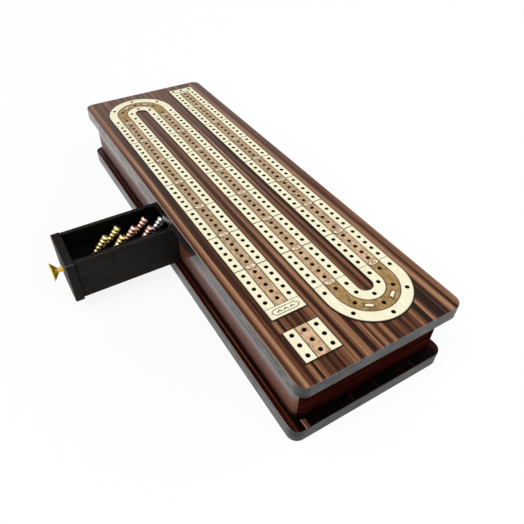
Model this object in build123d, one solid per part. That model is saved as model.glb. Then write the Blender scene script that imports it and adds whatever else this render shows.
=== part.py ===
from build123d import *
import math
import os

# A three-track cribbage box: a low wooden case between two overhanging boards. The top board
# carries the inlaid track with its peg holes, and a peg drawer runs out of one long side.
#
# Frame: millimetres, +Z up, origin at the centre of the underside. +X points to the start end
# of the track and the drawer opens towards -Y. The drawer is modelled open, as it is at rest.

# --- boards and the veneer on them
board_length = 358.0
board_width = 117.0
board_corner = 7.0  # radius of the rounded corners, in plan
board_arris = 0.8  # radius along the boards' long edges
bottom_board_thick = 10.7
top_board_thick = 9.7
veneer_thick = 0.8
veneer_bevel = 0.3

# --- case walls
wall_height = 35.0
wall_thick = 6.4
wall_corner = 7.0
end_overhang = 6.0  # boards past the end walls
side_overhang = 4.5  # boards past the long walls
guide_thick = 6.0
runner_width = 5.0

# --- inlaid track
pitch = 6.35  # between the holes of a group
hole_count = 5  # in each group
group_gap = 10.36  # from a group's last hole to the next group's first
lane_spacing = 8.27  # between the three lanes
start_margin = 58.65  # from the board's start edge to the first hole
end_margin = 10.0  # least board left past the far turn
side_margin = 11.7  # board left beside the outer legs
middle_strip_width = 8.64
band_width = 24.2  # across all three strips
inlay_thick = 1.4
inlay_joint = 0.1  # dark joint round every inlaid piece
peg_hole_radius = 1.45
peg_hole_depth = 8.0  # below the inlay, in the top board
group_line_width = 0.4
group_line_depth = 0.3
cut_past = 1.0  # how far a cutter runs past what it cuts
same_place = 1e-4  # places nearer than this are one place

# --- turns of the track: from the last group line to the arc, to the first hole, to the fan
far_turn_straight = 13.65
far_turn_first_hole = 5.6
far_turn_fan = 6.9
near_turn_straight = 11.85
near_turn_first_hole = 6.05
near_turn_fan = 6.0
fan_step = 45.0  # degrees between the fan's rays

# --- plates, counter and small inlays
start_plate_length = 8.0
start_frame_length = 19.4
start_frame_width = 4.8
chevron_width = 3.0
chevron_height = 1.4
chevron_spacing = 4.3
finish_plate_setback = 3.4  # from the last hole to the finish plate
finish_plate_length = 8.9
finish_hole_setback = 5.85  # from the finish plate's near edge to its holes
finish_bar_length = 17.0
finish_bar_width = 1.0
counter_gap = 18.8  # from the start line to the game counter
counter_length = 22.4
counter_row_pitch = 7.56
counter_rows = 3
number_plate_length = 9.0
number_plate_width = 4.3
number_plate_thick = 0.28
arrow_thick = 0.3
arrow_length = 5.8
arrow_width = 1.8
arrow_angle = 31.0  # degrees either side of a turn's apex
engraving_width = 0.45
engraving_depth = 0.25

# --- drawer
drawer_width = 38.0  # across the drawer front
drawer_kept = 20.2  # of the open drawer, still behind the front wall's face
front_thick = 6.4
front_gap = 0.4  # above and below the drawer front
front_side_gap = 0.3
front_side_lip = 1.0  # front past the drawer's sides
front_drop = 1.2  # front below the drawer's sides
front_arris = 0.5
side_thick = 2.8
back_thick = 3.2
back_gap = 0.6  # behind the closed drawer
running_gap = 0.3  # drawer to its guides and runners
tray_depth = 14.6  # from the drawer's rim down to the peg block

# --- pegs, standing in the block at a slant
peg_length = 36.0
peg_lean = 45.0  # degrees from level
peg_tip_radius = 1.05
peg_shank_radius = 1.4
peg_point = 1.0  # tapered length at the tip
peg_tip_flat = 0.7  # radius of the tip's end
bead_pitch = 3.05
bead_radii = (1.75, 2.0, 2.25, 2.5, 2.7)
bead_neck = 0.72  # groove between beads, as a share of the smaller bead's radius
bead_crown = 0.55  # where a bead is widest, as a share of its length
head_end = 0.8  # radius of the head's end, as a share of the last bead's
peg_head_below_rim = 2.3
first_rank = 34.5  # from the drawer's face to the head of the first peg
last_rank_gap = 10.3  # from the heads of the last pegs to the drawer's back
rank_count = 6
row_spacing = 5.9
peg_fit = 0.2  # round a peg's shank in the block
peg_seat_gap = 0.3  # under a peg's tip

# --- knob and its screw
knob_length = 8.0
knob_radius = 6.75
knob_rim = 0.6
knob_neck_radius = 1.7
knob_neck_length = 3.4
knob_foot_radius = 2.7
knob_foot_length = 0.7
knob_foot_taper = 0.7  # from the foot to the neck
knob_face_radius = 5.4
knob_dish = 0.8
screw_radius = 1.0
screw_head_radius = 2.0
screw_reach = 2.6  # past the drawer front, into the knob
screw_slot = 0.5  # width and depth of the slot in its head
screw_fit = 0.05
screw_end_gap = 0.3

# --- places worked out from the sizes above
ledge_z = bottom_board_thick + veneer_thick
under_z = ledge_z + wall_height
core_z = under_z + top_board_thick
veneer_z = core_z + veneer_thick
inlay_z = core_z + inlay_thick
case_x = board_length / 2 - end_overhang
case_y = board_width / 2 - side_overhang
case_inner_y = case_y - wall_thick

group_length = (hole_count - 1) * pitch + group_gap
first_hole_x = board_length / 2 - start_margin
lanes = (-1, 0, 1)
half_band = band_width / 2
half_middle = middle_strip_width / 2
leg_spacing = board_width / 2 - side_margin - half_band
leg_y = [(leg - 1) * leg_spacing for leg in range(3)]
far_turn_reach = far_turn_straight + leg_spacing / 2 + half_band
track_room = board_length - start_margin + group_gap / 2 - far_turn_reach - end_margin
whole_groups = int(track_room / group_length)
leg_groups = (whole_groups, whole_groups, whole_groups + 1)
finish_setback = (leg_groups[2] - 1) * group_length + (hole_count - 1) * pitch + finish_plate_setback

front_half = drawer_width / 2
box_half = front_half - front_side_lip
bay_half = box_half + running_gap
opening_half = front_half + front_side_gap
front_bottom = ledge_z + front_gap
rim_z = under_z - front_gap
box_bottom = front_bottom + front_drop
runner_thick = box_bottom - running_gap - ledge_z
block_top = rim_z - tray_depth
drawer_length = case_y + case_inner_y - back_gap
drawer_open = drawer_length - drawer_kept  # from closed to the modelled place
drawer_face_y = -case_y - drawer_open
drawer_inner_y = drawer_face_y + front_thick
drawer_back_y = drawer_face_y + drawer_length
tray_half = box_half - side_thick
tray_back_y = drawer_back_y - back_thick
rank_spacing = (tray_back_y - last_rank_gap - drawer_face_y - first_rank) / (rank_count - 1)
peg_head_z = rim_z - peg_head_below_rim
knob_z = (front_bottom + rim_z) / 2


def box_between(x0, x1, y0, y1, z0, z1):
    """A box from its two corners."""
    middle = Pos((x0 + x1) / 2, (y0 + y1) / 2, (z0 + z1) / 2)
    return middle * Box(abs(x1 - x0), abs(y1 - y0), abs(z1 - z0))


def edges_at(solid, z):
    """The solid's edges that lie level at height z."""
    return [
        edge
        for edge in solid.edges()
        if all(abs((edge @ share).Z - z) < same_place for share in (0, 0.5, 1))
    ]


def raise_plan(plan, z, thick):
    """A flat plan made into a sheet whose underside is at height z."""
    return Pos(0, 0, z) * extrude(plan, amount=thick)


# ---------------------------------------------------------------- holes and their places


def group_line_x(count):
    """Where the line before group number count crosses the track."""
    return first_hole_x - count * group_length + group_gap / 2


def leg_holes(leg, lane):
    """Centres of one lane's holes along one leg."""
    y = leg_y[leg] + lane * lane_spacing
    starts = [first_hole_x - group * group_length for group in range(leg_groups[leg])]
    return [(start - hole * pitch, y) for start in starts for hole in range(hole_count)]


def turn_data(far):
    """The middle, line, direction and sizes of the far or the near turn."""
    if far:
        middle = (leg_y[0] + leg_y[1]) / 2
        return middle, group_line_x(leg_groups[0]), -1, far_turn_straight, far_turn_first_hole, far_turn_fan
    middle = (leg_y[1] + leg_y[2]) / 2
    return middle, group_line_x(0), 1, near_turn_straight, near_turn_first_hole, near_turn_fan


def turn_holes(far, lane):
    """Centres of one lane's five holes round a turn. Lane 1 is the outer one."""
    middle, line_x, way, straight, first, fan = turn_data(far)
    radius = leg_spacing / 2 + lane * lane_spacing
    back = fan - straight
    sine = math.sin(math.radians(fan_step))
    cosine = math.cos(math.radians(fan_step))
    reach = -sine * back + math.sqrt((sine * back) ** 2 - back ** 2 + radius ** 2)
    spots = [(first, radius), (fan + reach * sine, reach * cosine), (straight + radius, 0.0)]
    spots += [(out, -across) for out, across in spots[:2]]
    return [(line_x + way * out, middle + across) for out, across in spots]


def counter_holes(lane):
    """Centres of one column's holes in the game counter."""
    middle_x = group_line_x(0) + counter_gap + counter_length / 2
    rows = [row - (counter_rows - 1) / 2 for row in range(counter_rows)]
    return [(middle_x + row * counter_row_pitch, leg_y[0] + lane * lane_spacing) for row in rows]


def finish_holes():
    """Centres of the three last holes, one for each lane."""
    x = first_hole_x - finish_setback - finish_hole_setback
    return [(x, leg_y[2] + lane * lane_spacing) for lane in lanes]


def all_holes():
    """Centres of every peg hole in the top."""
    spots = finish_holes()
    for lane in lanes:
        spots += counter_holes(lane)
        spots += turn_holes(True, lane) + turn_holes(False, lane)
        for leg in range(3):
            spots += leg_holes(leg, lane)
    return spots


def pierced(plan, spots):
    """A plan with a peg hole at each spot."""
    return plan - [Pos(x, y) * Circle(peg_hole_radius) for x, y in spots]


# ---------------------------------------------------------------- plans of the inlay


def strip_edges(lane):
    """How far a lane's strip reaches to either side of the middle of its band."""
    if lane == 0:
        return -half_middle + inlay_joint / 2, half_middle - inlay_joint / 2
    inner = half_middle + inlay_joint / 2
    return (inner, half_band) if lane > 0 else (-half_band, -inner)


def rectangle_plan(x0, x1, y0, y1):
    """A rectangle from two corners."""
    return Pos((x0 + x1) / 2, (y0 + y1) / 2) * Rectangle(abs(x1 - x0), abs(y1 - y0))


def horseshoe(far, inner, outer, grow=0.0):
    """The plan of a turn's strip: two straight ends and a half ring between two radii."""
    middle, line_x, way, straight, first, fan = turn_data(far)
    arc_x = line_x + way * straight
    foot_x = line_x + way * (inlay_joint / 2 - grow)
    wide = outer + grow
    narrow = inner - grow
    ring = Circle(wide) - Circle(narrow)
    half = ring & (Pos(way * wide, 0) * Rectangle(2 * wide, 3 * wide))
    legs = [rectangle_plan(foot_x, arc_x, middle + side * narrow, middle + side * wide) for side in (-1, 1)]
    return Pos(arc_x, middle) * half + legs


def leg_span(leg):
    """Where a leg's strips begin and end along X."""
    start = group_line_x(0) - inlay_joint / 2
    if leg == 2:
        return start, first_hole_x - finish_setback + inlay_joint / 2
    return start, group_line_x(leg_groups[leg]) + inlay_joint / 2


def start_plate_span():
    """Where the start plate begins and ends along X."""
    return group_line_x(0) + inlay_joint / 2, group_line_x(0) + start_plate_length


def finish_plate_span():
    """Where the finish plate begins and ends along X."""
    near = first_hole_x - finish_setback
    return near - inlay_joint / 2, near - finish_plate_length


def counter_span():
    """Where the game counter begins and ends along X."""
    near = group_line_x(0) + counter_gap
    return near, near + counter_length


def windows():
    """The openings in the top veneer that the inlay sits in, a joint wider all round."""
    reach = half_band + inlay_joint
    spans = [(leg_span(leg), leg_y[leg]) for leg in range(3)]
    spans += [(start_plate_span(), leg_y[0]), (counter_span(), leg_y[0]), (finish_plate_span(), leg_y[2])]
    plans = []
    for (x0, x1), y in spans:
        low = min(x0, x1) - inlay_joint
        high = max(x0, x1) + inlay_joint
        plans.append(rectangle_plan(low, high, y - reach, y + reach))
    turn_radius = leg_spacing / 2
    for far in (True, False):
        plans.append(horseshoe(far, turn_radius - half_band, turn_radius + half_band, inlay_joint))
    return plans


# ---------------------------------------------------------------- case


def bottom_board():
    """The lower board, with rounded corners and eased edges."""
    board = extrude(RectangleRounded(board_length, board_width, board_corner), amount=bottom_board_thick)
    return fillet(edges_at(board, 0), board_arris)


def top_board():
    """The upper board, drilled from above for every peg hole."""
    plan = RectangleRounded(board_length, board_width, board_corner)
    board = raise_plan(plan, under_z, top_board_thick)
    board = fillet(edges_at(board, under_z), board_arris)
    drill = Cylinder(peg_hole_radius, peg_hole_depth, align=(Align.CENTER, Align.CENTER, Align.MAX))
    return board - [Pos(x, y, core_z) * drill for x, y in all_holes()]


def veneer(z, cut_windows):
    """A sheet of veneer over a board, its top edge slightly bevelled."""
    plan = RectangleRounded(board_length, board_width, board_corner)
    sheet = raise_plan(plan, z, veneer_thick)
    sheet = chamfer(edges_at(sheet, z + veneer_thick), veneer_bevel)
    if cut_windows:
        sheet = sheet - [raise_plan(window, z - cut_past, veneer_thick + 2 * cut_past) for window in windows()]
    return sheet


def wall_ring():
    """Plan of the four walls together, with the case's outer corners rounded."""
    outer = RectangleRounded(2 * case_x, 2 * case_y, wall_corner)
    return outer - Rectangle(2 * (case_x - wall_thick), 2 * case_inner_y)


def long_wall_plan(side):
    """One long wall of the ring, cut off at its mitres. side is -1 for the drawer's side."""
    past = wall_thick
    inward = 2 * wall_thick
    corners = [
        (-case_x - past, side * (case_y + past)),
        (case_x + past, side * (case_y + past)),
        (case_x - inward, side * (case_y - inward)),
        (-case_x + inward, side * (case_y - inward)),
    ]
    return wall_ring() & make_face(Polyline(*corners, close=True))


def end_wall_plan(side):
    """One end wall of the ring, cut off at its mitres. side is 1 for the start end."""
    past = wall_thick
    inward = 2 * wall_thick
    corners = [
        (side * (case_x + past), -case_y - past),
        (side * (case_x + past), case_y + past),
        (side * (case_x - inward), case_y - inward),
        (side * (case_x - inward), -case_y + inward),
    ]
    return wall_ring() & make_face(Polyline(*corners, close=True))


def front_wall(side):
    """The front wall to one side of the drawer. side is 1 for the start end."""
    beyond = side * (case_x + wall_thick)
    keep = rectangle_plan(side * opening_half, beyond, -case_y - cut_past, -case_inner_y + cut_past)
    return raise_plan(long_wall_plan(-1) & keep, ledge_z, wall_height)


def drawer_guide(side):
    """The partition beside the drawer, from the front wall to the back wall."""
    inner = side * bay_half
    outer = side * (bay_half + guide_thick)
    return box_between(inner, outer, -case_inner_y, case_inner_y, ledge_z, under_z)


def drawer_runner(side):
    """The thin strip under one side of the drawer, behind the closed drawer front."""
    outer = side * bay_half
    inner = side * (bay_half - runner_width)
    mouth = -case_y + front_thick + running_gap
    return box_between(inner, outer, mouth, case_inner_y, ledge_z, ledge_z + runner_thick)


# ---------------------------------------------------------------- inlay


def leg_strip(leg, lane):
    """One lane's strip on one leg, pierced and scored at each group line."""
    near, far = leg_span(leg)
    low, high = strip_edges(lane)
    plan = pierced(rectangle_plan(near, far, leg_y[leg] + low, leg_y[leg] + high), leg_holes(leg, lane))
    strip = raise_plan(plan, core_z, inlay_thick)
    lines = [
        Pos(group_line_x(count), leg_y[leg], inlay_z) * Box(group_line_width, 2 * band_width, 2 * group_line_depth)
        for count in range(1, leg_groups[leg])
    ]
    return strip - lines


def turn_strip(far, lane):
    """One lane's curved strip in a turn. Lane 1 is the outer one."""
    low, high = strip_edges(lane)
    radius = leg_spacing / 2
    plan = horseshoe(far, radius + low, radius + high)
    return raise_plan(pierced(plan, turn_holes(far, lane)), core_z, inlay_thick)


def counter_strip(lane):
    """One column of the game counter."""
    near, far = counter_span()
    low, high = strip_edges(lane)
    plan = rectangle_plan(near, far, leg_y[0] + low, leg_y[0] + high)
    return raise_plan(pierced(plan, counter_holes(lane)), core_z, inlay_thick)


def hexagon(length, width):
    """A long hexagon, pointed at both ends of its length, which runs along Y."""
    shoulder = length / 2 - width / 2
    corners = [
        (0, length / 2),
        (width / 2, shoulder),
        (width / 2, -shoulder),
        (0, -length / 2),
        (-width / 2, -shoulder),
        (-width / 2, shoulder),
    ]
    return make_face(Polyline(*corners, close=True))


def chevron():
    """A slim chevron that points along -X, the way the pegs travel."""
    stroke = 2 * engraving_width
    half = chevron_width / 2
    corners = [
        (-chevron_height, 0),
        (0, half),
        (stroke, half),
        (stroke - chevron_height, 0),
        (stroke, -half),
        (0, -half),
    ]
    return make_face(Polyline(*corners, close=True))


def engraved(sheet, marks):
    """A sheet of the inlay with marks cut into its upper face."""
    return sheet - [raise_plan(mark, inlay_z - engraving_depth, cut_past) for mark in marks]


def start_plate():
    """The plate before the first holes, engraved with a long frame and three chevrons."""
    near, far = start_plate_span()
    middle = Pos((near + far) / 2, leg_y[0])
    outer = hexagon(start_frame_length, start_frame_width)
    inner = offset(outer, amount=-engraving_width)
    marks = [middle * (outer - inner)]
    marks += [middle * Pos(engraving_width, step * chevron_spacing) * chevron() for step in lanes]
    plate = raise_plan(rectangle_plan(near, far, leg_y[0] - half_band, leg_y[0] + half_band), core_z, inlay_thick)
    return engraved(plate, marks)


def finish_plate():
    """The plate with the three last holes, engraved with a bar between two points."""
    near, far = finish_plate_span()
    sides = (leg_y[2] - half_band, leg_y[2] + half_band)
    plan = pierced(rectangle_plan(near, far, *sides), finish_holes())
    bar_x = near - (finish_hole_setback - peg_hole_radius) / 2
    bar = Pos(bar_x, leg_y[2]) * hexagon(finish_bar_length, finish_bar_width)
    return engraved(raise_plan(plan, core_z, inlay_thick), [bar])


def number_plates(leg):
    """The hexagonal plates at one leg's group lines, each laid over the middle strip."""
    first = 1 if leg == 0 else 0
    last = leg_groups[leg] if leg < 2 else leg_groups[leg] - 1
    plan = hexagon(number_plate_length, number_plate_width)
    plates = [Pos(group_line_x(count), leg_y[leg]) * plan for count in range(first, last + 1)]
    return [raise_plan(plate, inlay_z, number_plate_thick) for plate in plates]


def turn_arrows():
    """Two small arrows in each turn, on the middle strip, pointing the way the pegs travel."""
    half = arrow_length / 2
    side = arrow_width / 2
    neck = half - side
    corners = [(-half, -side), (neck, -side), (half, 0), (neck, side), (-half, side), (-neck, 0)]
    arrow = make_face(Polyline(*corners, close=True))
    arrows = []
    for far in (True, False):
        middle, line_x, way, straight, first, fan = turn_data(far)
        for turn in (-arrow_angle, arrow_angle):
            across = math.sin(math.radians(turn)) * leg_spacing / 2
            out = straight + math.cos(math.radians(turn)) * leg_spacing / 2
            place = Pos(line_x + way * out, middle + across) * Rot(0, 0, 90 + way * turn)
            arrows.append(raise_plan(place * arrow, inlay_z, arrow_thick))
    return arrows


# ---------------------------------------------------------------- drawer


def drawer_front():
    """The drawer's front board, bored and countersunk from behind for the knob's screw."""
    front = box_between(-front_half, front_half, drawer_face_y, drawer_inner_y, front_bottom, rim_z)
    face_edges = [edge for edge in front.edges() if abs((edge @ 0.5).Y - drawer_face_y) < same_place]
    front = chamfer(face_edges, front_arris)
    along = Pos(0, drawer_inner_y, knob_z) * Rot(90, 0, 0)
    hole = Cylinder(screw_radius + screw_fit, 3 * front_thick)
    head_length = screw_head_radius - screw_radius
    bottom = (Align.CENTER, Align.CENTER, Align.MIN)
    sink = Cone(screw_head_radius + screw_fit, screw_radius + screw_fit, head_length, align=bottom)
    return front - along * hole - along * sink


def drawer_side(side):
    """One side of the drawer. side is 1 for the start end."""
    inner = side * tray_half
    return box_between(inner, side * box_half, drawer_inner_y, drawer_back_y, box_bottom, rim_z)


def drawer_back():
    """The drawer's back, between its sides."""
    return box_between(-tray_half, tray_half, tray_back_y, drawer_back_y, box_bottom, rim_z)


def peg_places():
    """The nodes of the nine pegs, with each head's place along X and Y."""
    places = []
    for metal, metal_name in enumerate(("brass", "copper", "silver")):
        single = drawer_face_y + first_rank + 2 * metal * rank_spacing
        pair = single + rank_spacing
        places.append((f"peg_{metal_name}_1", 0.0, single))
        places.append((f"peg_{metal_name}_2", -row_spacing, pair))
        places.append((f"peg_{metal_name}_3", row_spacing, pair))
    return places


def peg_axis(x, y):
    """The frame of one peg: its origin at the head's end, its Z along the peg to the head."""
    return Pos(x, y, peg_head_z) * Rot(peg_lean - 90, 0, 0)


def peg_block():
    """The block that floors the drawer's tray, drilled at a slant for the nine pegs."""
    block = box_between(-tray_half, tray_half, drawer_inner_y, tray_back_y, box_bottom, block_top)
    depth = peg_length + peg_seat_gap
    drill = Cylinder(peg_shank_radius + peg_fit, depth, align=(Align.CENTER, Align.CENTER, Align.MAX))
    return block - [peg_axis(x, y) * drill for name, x, y in peg_places()]


def peg():
    """A turned peg with its head's end at the origin: a tapered shank below a stack of beads."""
    beads_length = bead_pitch * len(bead_radii)
    shank_top = -beads_length
    tip = -peg_length
    outline = [
        Line((0, tip), (peg_tip_flat, tip)),
        Line((peg_tip_flat, tip), (peg_tip_radius, tip + peg_point)),
        Line((peg_tip_radius, tip + peg_point), (peg_shank_radius, shank_top)),
    ]
    corner = (peg_shank_radius, shank_top)
    for count, radius in enumerate(bead_radii):
        low = shank_top + count * bead_pitch
        high = low + bead_pitch
        neck = radius * bead_neck
        if count == len(bead_radii) - 1:
            neck = radius * head_end
        if corner[0] < neck:
            outline.append(Line(corner, (neck, low)))
            corner = (neck, low)
        outline.append(ThreePointArc(corner, (radius, low + bead_crown * bead_pitch), (neck, high)))
        corner = (neck, high)
    outline.append(Line(corner, (0, 0)))
    outline.append(Line((0, 0), (0, tip)))
    return revolve(Plane.XZ * make_face(outline), Axis.Z)


def knob():
    """The flared knob, its foot on the drawer front, bored from behind for the screw."""
    corners = [
        (0, 0),
        (knob_foot_radius, 0),
        (knob_foot_radius, knob_foot_length),
        (knob_neck_radius, knob_foot_length + knob_foot_taper),
        (knob_neck_radius, knob_neck_length),
        (knob_radius, knob_length - knob_rim),
        (knob_radius, knob_length),
        (knob_face_radius, knob_length),
        (0, knob_length - knob_dish),
    ]
    turned = revolve(Plane.XZ * make_face(Polyline(*corners, close=True)), Axis.Z)
    bore_depth = screw_reach + screw_end_gap
    bore = Cylinder(screw_radius + screw_fit, bore_depth, align=(Align.CENTER, Align.CENTER, Align.MIN))
    return Pos(0, drawer_face_y, knob_z) * Rot(90, 0, 0) * (turned - bore)


def knob_screw():
    """The screw from inside the drawer front, its countersunk head level with the inner face."""
    length = front_thick + screw_reach
    bottom = (Align.CENTER, Align.CENTER, Align.MIN)
    head = Cone(screw_head_radius, screw_radius, screw_head_radius - screw_radius, align=bottom)
    slot = Box(2 * screw_head_radius, screw_slot, 2 * screw_slot)
    screw = Cylinder(screw_radius, length, align=bottom) + head - slot
    return Pos(0, drawer_inner_y, knob_z) * Rot(90, 0, 0) * screw


# ---------------------------------------------------------------- every node, by name


def case_nodes():
    """The boards, walls and what guides the drawer."""
    return {
        "bottom_board": bottom_board(),
        "bottom_veneer": veneer(bottom_board_thick, False),
        "front_wall_near": front_wall(1),
        "front_wall_far": front_wall(-1),
        "back_wall": raise_plan(long_wall_plan(1), ledge_z, wall_height),
        "end_wall_near": raise_plan(end_wall_plan(1), ledge_z, wall_height),
        "end_wall_far": raise_plan(end_wall_plan(-1), ledge_z, wall_height),
        "drawer_guide_near": drawer_guide(1),
        "drawer_guide_far": drawer_guide(-1),
        "drawer_runner_near": drawer_runner(1),
        "drawer_runner_far": drawer_runner(-1),
        "top_board": top_board(),
        "top_veneer": veneer(core_z, True),
    }


def inlay_nodes():
    """The strips, plates and small inlays of the track and the game counter."""
    lane_names = {-1: "left", 0: "middle", 1: "right"}
    ring_names = {-1: "inner", 0: "middle", 1: "outer"}
    nodes = {"start_plate": start_plate(), "finish_plate": finish_plate(), "turn_arrows": turn_arrows()}
    for leg in range(3):
        nodes[f"number_plates_leg_{leg + 1}"] = number_plates(leg)
        for lane in lanes:
            nodes[f"leg_{leg + 1}_strip_{lane_names[lane]}"] = leg_strip(leg, lane)
    for lane in lanes:
        nodes[f"far_turn_strip_{ring_names[lane]}"] = turn_strip(True, lane)
        nodes[f"near_turn_strip_{ring_names[lane]}"] = turn_strip(False, lane)
        nodes[f"counter_strip_{lane_names[lane]}"] = counter_strip(lane)
    return nodes


def drawer_nodes():
    """The drawer, its knob and the nine pegs."""
    nodes = {
        "drawer_front": drawer_front(),
        "drawer_side_near": drawer_side(1),
        "drawer_side_far": drawer_side(-1),
        "drawer_back": drawer_back(),
        "peg_block": peg_block(),
        "knob": knob(),
        "knob_screw": knob_screw(),
    }
    one_peg = peg()
    for name, x, y in peg_places():
        nodes[name] = peg_axis(x, y) * one_peg
    return nodes


def write_nodes(nodes):
    """Write each node to its own file, a list of solids as one group."""
    os.makedirs("parts", exist_ok=True)
    for name, shape in nodes.items():
        group = Compound(children=shape) if isinstance(shape, list) else shape
        export_step(group, f"parts/{name}.step")
        print(f"{name}: {len(group.solids())} solid(s), {group.volume:.1f} mm3")


write_nodes({**case_nodes(), **inlay_nodes(), **drawer_nodes()})
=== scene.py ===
"""Looks of a three-track cribbage box: inlaid top, lacquered case and a small drawer of metal pegs."""

import logging
import math
from dataclasses import dataclass, replace
from enum import Enum
from typing import Any

import bmesh
import bpy
from mathutils import Matrix, Vector


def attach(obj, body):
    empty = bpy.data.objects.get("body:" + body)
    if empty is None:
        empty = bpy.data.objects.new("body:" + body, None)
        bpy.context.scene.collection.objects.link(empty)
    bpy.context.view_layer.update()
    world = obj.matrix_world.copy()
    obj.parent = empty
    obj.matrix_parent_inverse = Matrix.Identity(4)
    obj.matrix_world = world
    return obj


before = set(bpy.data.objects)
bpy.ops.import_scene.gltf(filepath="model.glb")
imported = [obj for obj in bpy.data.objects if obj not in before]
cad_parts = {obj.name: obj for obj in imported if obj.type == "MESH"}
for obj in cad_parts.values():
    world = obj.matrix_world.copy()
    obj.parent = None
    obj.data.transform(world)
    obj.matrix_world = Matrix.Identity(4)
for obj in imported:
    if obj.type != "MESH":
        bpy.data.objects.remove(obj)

MM = 0.001
LOG = logging.getLogger("cribbage_box")
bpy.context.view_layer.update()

Colour = tuple[float, float, float]
Spot = tuple[float, float, float]


class Blend(Enum):
    """The ways in which two colours are put together."""

    MIX = "MIX"
    OVERLAY = "OVERLAY"


# ---------------- shader expressions


class Shade:
    """One output of a shader node, which Python's operators work on."""

    def __init__(self, graph: "Graph", node: bpy.types.Node, out: int | str = 0) -> None:
        """Keeps one output of a node.

        Args:
            graph: the graph that the node belongs to.
            node: the node.
            out: the output's name or number.
        """
        self.graph = graph
        self.node = node
        self.out = out

    @property
    def socket(self) -> bpy.types.NodeSocket:
        """The output's socket."""
        return self.node.outputs[self.out]

    def other(self, out: int | str) -> "Shade":
        """Another output of the same node."""
        return Shade(self.graph, self.node, out)

    def _math(self, operation: str, first: Any, second: Any = None) -> "Shade":
        """The result of a Math node of one value or link, or of two."""
        values = {0: first} if second is None else {0: first, 1: second}
        return self.graph.node("ShaderNodeMath", {"operation": operation}, values)

    def __add__(self, other: Any) -> "Shade":
        """self + other."""
        return self._math("ADD", self, other)

    def __radd__(self, other: Any) -> "Shade":
        """other + self."""
        return self._math("ADD", other, self)

    def __sub__(self, other: Any) -> "Shade":
        """self - other."""
        return self._math("SUBTRACT", self, other)

    def __rsub__(self, other: Any) -> "Shade":
        """other - self."""
        return self._math("SUBTRACT", other, self)

    def __mul__(self, other: Any) -> "Shade":
        """self * other."""
        return self._math("MULTIPLY", self, other)

    def __rmul__(self, other: Any) -> "Shade":
        """other * self."""
        return self._math("MULTIPLY", other, self)

    def __truediv__(self, other: Any) -> "Shade":
        """self / other."""
        return self._math("DIVIDE", self, other)

    def __pow__(self, other: Any) -> "Shade":
        """self to the power of other."""
        return self._math("POWER", self, other)

    def __abs__(self) -> "Shade":
        """The value without its sign."""
        return self._math("ABSOLUTE", self)

    def rounded(self) -> "Shade":
        """The nearest whole number."""
        return self._math("ROUND", self)

    def at_least(self, other: Any) -> "Shade":
        """The larger of this value and other."""
        return self._math("MAXIMUM", self, other)

    def at_most(self, other: Any) -> "Shade":
        """The smaller of this value and other."""
        return self._math("MINIMUM", self, other)

    def rises(self, low: float, high: float) -> "Shade":
        """A smooth step from 0 below low to 1 above high.

        Args:
            low: where the step starts.
            high: where it ends. It may be below low, and then the step falls.

        Returns:
            The step's value.
        """
        flip = high < low
        ends = {1: min(low, high), 2: max(low, high), 3: 1.0 if flip else 0.0, 4: 0.0 if flip else 1.0}
        settings = {"interpolation_type": "SMOOTHSTEP", "clamp": True}
        return self.graph.node("ShaderNodeMapRange", settings, {0: self, **ends})


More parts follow.
